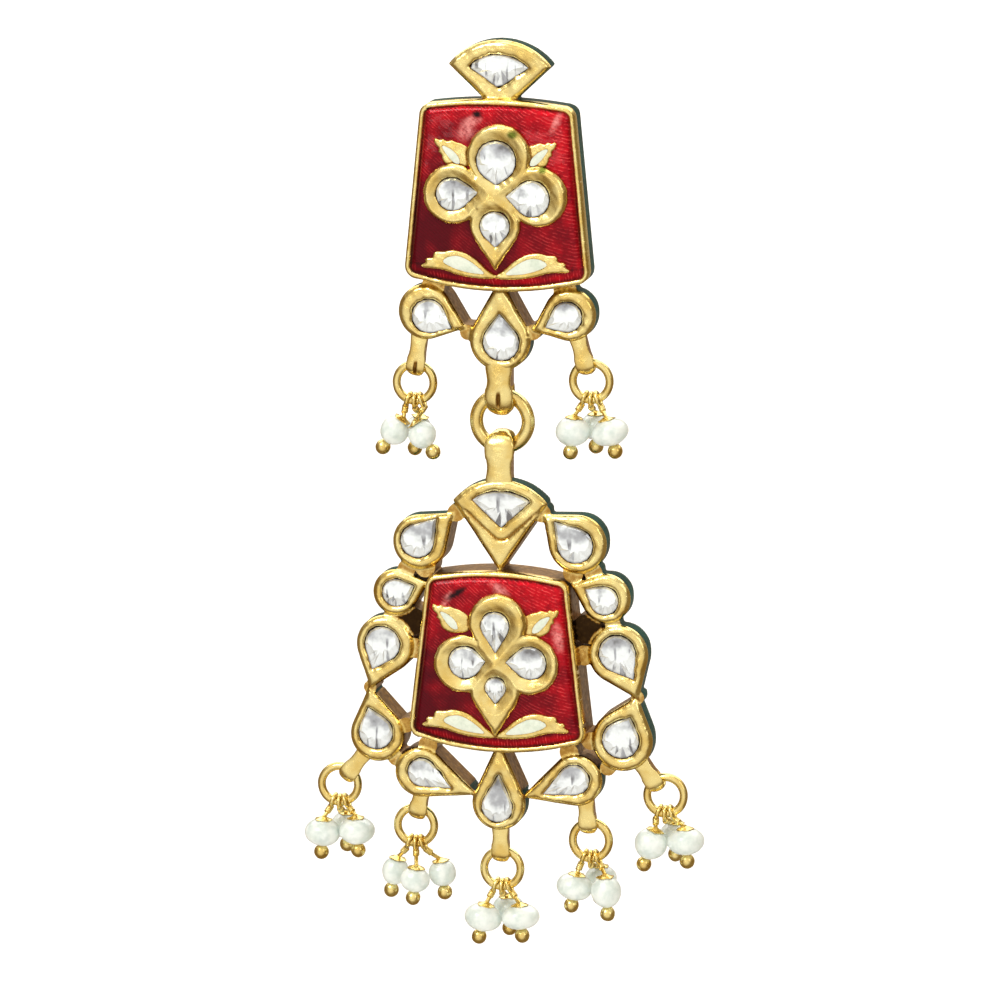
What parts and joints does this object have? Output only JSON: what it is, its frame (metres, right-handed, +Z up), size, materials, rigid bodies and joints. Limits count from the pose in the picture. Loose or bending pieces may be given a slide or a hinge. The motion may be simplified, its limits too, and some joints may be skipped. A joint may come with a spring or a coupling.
{
  "type": "chandelier drop earring",
  "caption": "Chandelier drop earring: gold plaques with red enamel and flat-cut diamonds, green enamel back, a swinging pendant and seed pearl drops.",
  "frame": {"origin": "where the ear post leaves the back of the top plaque and passes into the ear lobe", "axes": "+Z up, towards the fan at the top; +Y back along the ear post, so the front faces -Y; +X to the wearer's left as seen from the front, to the viewer's right"},
  "size_m": [0.0319, 0.0142, 0.0716],
  "materials": {
    "set_gold": "hand-burnished high-carat gold, softly uneven",
    "gold_wire": "drawn gold wire, polished",
    "red_enamel": "translucent red enamel over engraved gold",
    "green_enamel": "translucent dark green enamel",
    "white_enamel": "opaque white enamel",
    "flat_cut_diamond": "foil-backed flat-cut diamond",
    "seed_pearl": "nacre, satin lustre"
  },
  "bodies": {
    "upper": {"upper_frame": "set_gold", "upper_red_enamel": "red_enamel", "upper_leaf_enamel": "white_enamel", "upper_green_enamel": "green_enamel", "ear_post": "gold_wire", "upper_fan_stone": "flat_cut_diamond", "upper_petal_stone_1": "flat_cut_diamond", "upper_petal_stone_2": "flat_cut_diamond", "upper_petal_stone_3": "flat_cut_diamond", "upper_petal_stone_4": "flat_cut_diamond", "upper_drop_stone_1": "flat_cut_diamond", "upper_drop_stone_2": "flat_cut_diamond", "upper_drop_stone_3": "flat_cut_diamond", "upper_left_jump_ring": "gold_wire", "upper_left_head_pins": "gold_wire", "upper_left_pearls": "seed_pearl", "upper_right_jump_ring": "gold_wire", "upper_right_head_pins": "gold_wire", "upper_right_pearls": "seed_pearl"},
    "link": {"link_ring": "gold_wire"},
    "pendant": {"pendant_frame": "set_gold", "pendant_red_enamel": "red_enamel", "pendant_leaf_enamel": "white_enamel", "pendant_green_enamel": "green_enamel", "pendant_fan_stone": "flat_cut_diamond", "pendant_petal_stone_1": "flat_cut_diamond", "pendant_petal_stone_2": "flat_cut_diamond", "pendant_petal_stone_3": "flat_cut_diamond", "pendant_petal_stone_4": "flat_cut_diamond", "pendant_rim_stone_1": "flat_cut_diamond", "pendant_rim_stone_2": "flat_cut_diamond", "pendant_rim_stone_3": "flat_cut_diamond", "pendant_rim_stone_4": "flat_cut_diamond", "pendant_rim_stone_5": "flat_cut_diamond", "pendant_rim_stone_6": "flat_cut_diamond", "pendant_rim_stone_7": "flat_cut_diamond", "pendant_rim_stone_8": "flat_cut_diamond", "pendant_rim_stone_9": "flat_cut_diamond", "pendant_rim_stone_10": "flat_cut_diamond", "pendant_rim_stone_11": "flat_cut_diamond", "far_left_jump_ring": "gold_wire", "far_left_head_pins": "gold_wire", "far_left_pearls": "seed_pearl", "left_jump_ring": "gold_wire", "left_head_pins": "gold_wire", "left_pearls": "seed_pearl", "centre_jump_ring": "gold_wire", "centre_head_pins": "gold_wire", "centre_pearls": "seed_pearl", "right_jump_ring": "gold_wire", "right_head_pins": "gold_wire", "right_pearls": "seed_pearl", "far_right_jump_ring": "gold_wire", "far_right_head_pins": "gold_wire", "far_right_pearls": "seed_pearl"}
  },
  "joints": [
    {"name": "link_swing", "type": "hinge", "parent": "upper", "child": "link", "pos_m": [0, -0.0016, -0.0177], "axis": [1, 0, 0], "range_deg": [-45, 45]},
    {"name": "pendant_sway", "type": "hinge", "parent": "link", "child": "pendant", "pos_m": [0, -0.0016, -0.01976], "axis": [0, 1, 0], "range_deg": [-15, 15]}
  ]
}
